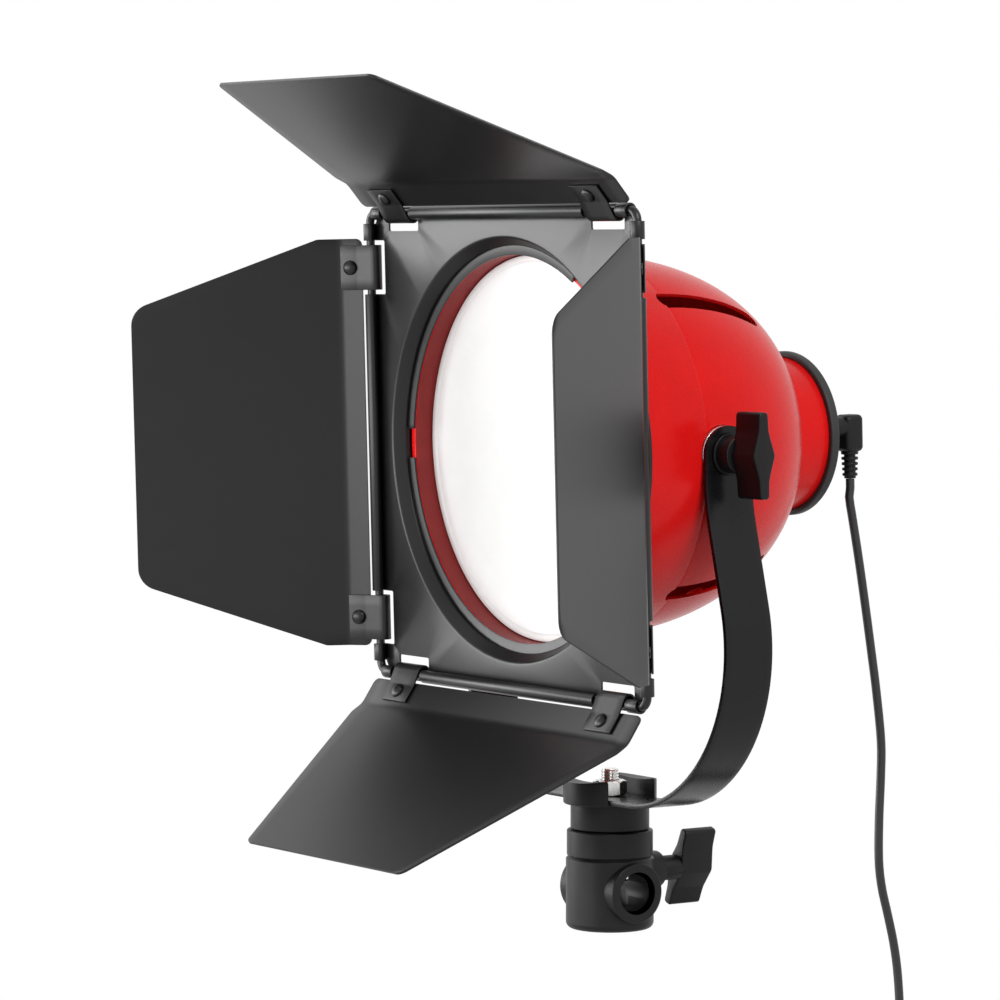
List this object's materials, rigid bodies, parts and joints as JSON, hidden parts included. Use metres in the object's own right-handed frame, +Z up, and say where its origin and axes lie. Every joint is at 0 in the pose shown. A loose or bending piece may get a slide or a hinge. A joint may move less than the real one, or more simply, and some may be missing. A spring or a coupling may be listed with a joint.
{
  "type": "led studio light",
  "caption": "Round LED studio light with four folding barn doors on a turning square frame, in a tilting flat yoke on a stand adapter, with a DC lead and mains adapter.",
  "frame": {"origin": "centre of the stand socket's mouth, at the bottom of the stand adapter", "axes": "+Z up along the stand's axis, -Y the way the light aims, +X the light's left side, where the tilt knob is"},
  "size_m": [0.333, 0.3249, 0.5819],
  "materials": {
    "black_sheet": "semi-matte black powder coat on sheet steel",
    "red_paint": "smooth satin red paint on spun metal",
    "yoke_black": "glossy black paint on flat steel strap",
    "black_plastic": "fine-grained matte black nylon",
    "rubber": "dull black rubber",
    "zinc": "bright zinc plated steel",
    "aluminium": "plain aluminium",
    "opal": "opal white diffuser plastic",
    "white_plastic": "white reflector plastic and white board",
    "board_green": "green circuit board",
    "led_yellow": "yellow phosphor and winding tape",
    "brass": "plain brass pins in a plate"
  },
  "bodies": {
    "yoke": {"yoke_strap": "yoke_black", "fork_head": "black_plastic", "adapter_body": "black_plastic", "yoke_bolt": "zinc", "yoke_nut": "zinc", "pivot_washer_left": "black_plastic", "pivot_washer_right": "black_plastic", "cord_coil": "rubber", "cord_tie": "black_sheet", "cord_tail": "rubber", "mains_adapter": "black_plastic", "adapter_pin_plate": "brass"},
    "clamp_knob": {"clamp_knob": "black_plastic", "clamp_screw": "zinc"},
    "head": {"housing_shell": "red_paint", "rear_drum": "red_paint", "rear_trim_ring": "rubber", "rear_panel": "black_plastic", "dc_inlet": "black_plastic", "switch_body": "black_plastic", "heat_sink": "aluminium", "inner_bracket": "zinc", "led_board": "white_plastic", "led_module": "led_yellow", "reflector": "white_plastic", "diffuser": "opal", "driver_board": "board_green", "driver_transformer": "led_yellow", "driver_capacitor": "aluminium", "pivot_boss_left": "zinc", "pivot_boss_right": "zinc", "pivot_bolt": "zinc", "dc_plug": "black_plastic", "cord_lead": "rubber"},
    "tilt_knob": {"tilt_knob": "black_plastic", "tilt_screw": "zinc"},
    "power_switch": {"switch_rocker": "black_plastic"},
    "barndoor_frame": {"barndoor_frame": "black_sheet", "hoop_wire": "black_sheet"},
    "door_top": {"door_top": "black_sheet", "clip_top_1": "black_sheet", "clip_top_2": "black_sheet", "rivet_top_1": "black_sheet", "rivet_top_2": "black_sheet"},
    "door_right": {"door_right": "black_sheet", "clip_right_1": "black_sheet", "clip_right_2": "black_sheet", "rivet_right_1": "black_sheet", "rivet_right_2": "black_sheet"},
    "door_bottom": {"door_bottom": "black_sheet", "clip_bottom_1": "black_sheet", "clip_bottom_2": "black_sheet", "rivet_bottom_1": "black_sheet", "rivet_bottom_2": "black_sheet"},
    "door_left": {"door_left": "black_sheet", "clip_left_1": "black_sheet", "clip_left_2": "black_sheet", "rivet_left_1": "black_sheet", "rivet_left_2": "black_sheet"}
  },
  "joints": [
    {"name": "head_tilt", "type": "hinge", "parent": "yoke", "child": "head", "pos_m": [0, 0, 0.2111], "axis": [-1, 0, 0], "range_deg": [-14, 75], "deforming": ["cord_lead"]},
    {"name": "barndoor_turn", "type": "hinge", "parent": "head", "child": "barndoor_frame", "pos_m": [0, -0.05641, 0.21072], "axis": [0, 0.9996, 0.0279], "range_deg": [-180, 180]},
    {"name": "door_top_hinge", "type": "hinge", "parent": "barndoor_frame", "child": "door_top", "pos_m": [0, -0.05927, 0.31318], "axis": [-1, 0, 0], "range_deg": [-89.9, 65.4]},
    {"name": "door_bottom_hinge", "type": "hinge", "parent": "barndoor_frame", "child": "door_bottom", "pos_m": [0, -0.05355, 0.10826], "axis": [1, 0, 0], "range_deg": [-93.8, 61.6]},
    {"name": "door_left_hinge", "type": "hinge", "parent": "barndoor_frame", "child": "door_left", "pos_m": [-0.1025, -0.05641, 0.21072], "axis": [0, -0.0279, 0.9996], "range_deg": [-59.2, 102.3]},
    {"name": "door_right_hinge", "type": "hinge", "parent": "barndoor_frame", "child": "door_right", "pos_m": [0.1025, -0.05641, 0.21072], "axis": [0, 0.0279, -0.9996], "range_deg": [-58.3, 103.2]},
    {"name": "tilt_knob_turn", "type": "hinge", "parent": "head", "child": "tilt_knob", "pos_m": [0.1, 0, 0.2111], "axis": [1, 0, 0], "continuous": true},
    {"name": "clamp_knob_turn", "type": "hinge", "parent": "yoke", "child": "clamp_knob", "pos_m": [0, 0.04, 0.024], "axis": [0, 1, 0], "continuous": true},
    {"name": "switch_rock", "type": "hinge", "parent": "head", "child": "power_switch", "pos_m": [-0.012, 0.09263, 0.21489], "axis": [-1, 0, 0], "range_deg": [0, 16]}
  ]
}
